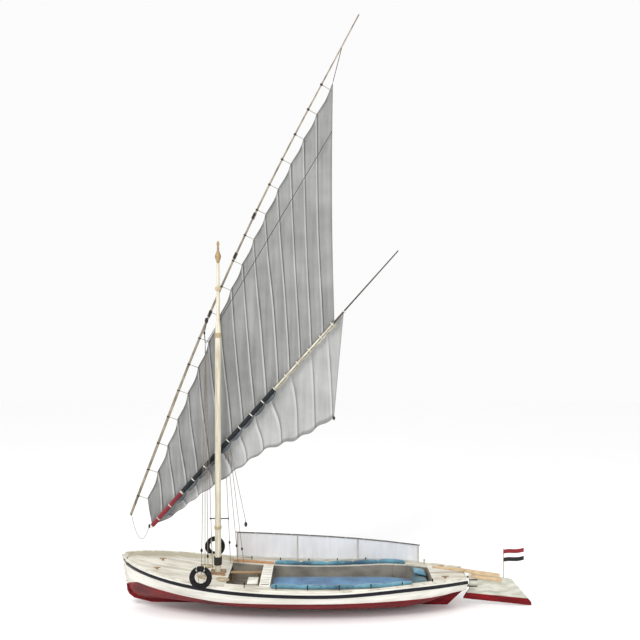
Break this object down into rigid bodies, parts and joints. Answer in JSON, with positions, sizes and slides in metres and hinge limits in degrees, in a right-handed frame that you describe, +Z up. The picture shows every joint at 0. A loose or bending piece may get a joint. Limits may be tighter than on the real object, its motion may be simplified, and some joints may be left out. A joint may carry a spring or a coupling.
{
  "type": "felucca sailing boat",
  "caption": "Open Nile sailing boat with a lateen yard, a laced sail on a boom, a cushioned cockpit and a long stern-hung rudder.",
  "frame": {"origin": "amidships on the centreline, at the waterline", "axes": "+X to the bow, +Y to port, +Z up"},
  "size_m": [11.865, 3.3294, 17.208],
  "materials": {
    "hull_paint": "worn white gloss paint on planking",
    "antifouling": "matte dark red bottom paint",
    "navy_paint": "navy gloss paint",
    "deck_paint": "worn white deck paint",
    "grey_boards": "weathered grey boards",
    "teal_cloth": "teal cotton cover",
    "blue_cloth": "blue cotton cover",
    "bare_wood": "bare wood",
    "varnished_wood": "old varnish",
    "pale_spar": "cream painted spar",
    "dark_spar": "dark oiled pole",
    "rope": "rope",
    "sail_cloth": "grey cotton canvas",
    "awning_cloth": "pale grey canvas",
    "flag_cloth": "striped bunting",
    "iron": "black iron",
    "rudder_paint": "worn off-white paint",
    "tyre_rubber": "old rubber"
  },
  "bodies": {
    "hull": {"hull_shell": "hull_paint", "stem_and_keel": "antifouling", "sheer_strake_port": "navy_paint", "sheer_strake_starboard": "navy_paint", "foredeck": "deck_paint", "aft_deck": "deck_paint", "side_deck_port": "deck_paint", "side_deck_starboard": "deck_paint", "cockpit_sole": "grey_boards", "side_lining_port": "grey_boards", "side_lining_starboard": "grey_boards", "aft_bulkhead": "grey_boards", "bolster_port": "teal_cloth", "bolster_starboard": "teal_cloth", "bolster_aft": "teal_cloth", "slatted_thwart": "deck_paint", "mattress": "blue_cloth", "centre_plank": "bare_wood", "stowage_box": "deck_paint", "mast_step": "bare_wood", "mast": "pale_spar", "masthead_cap": "varnished_wood", "gudgeon_lower": "iron", "gudgeon_upper": "iron", "awning_frame": "dark_spar", "awning_curtain": "awning_cloth", "tyre_port": "tyre_rubber", "tyre_starboard": "tyre_rubber"},
    "rig": {"yard": "dark_spar", "parrel_collar": "rope", "boom": "pale_spar", "sail_upper": "sail_cloth", "sail_lower": "sail_cloth"},
    "rudder": {"rudder_blade": "rudder_paint", "tiller": "varnished_wood", "flagstaff": "bare_wood", "flag": "flag_cloth"}
  },
  "joints": [
    {"name": "rig_swing", "type": "hinge", "parent": "hull", "child": "rig", "pos_m": [2.22, 0, 8.72], "axis": [0, 0, 1], "range_deg": [-45, 45]},
    {"name": "rudder_turn", "type": "hinge", "parent": "hull", "child": "rudder", "pos_m": [-5.02, 0, 0.08], "axis": [0, 0, 1], "range_deg": [-35, 35]}
  ]
}
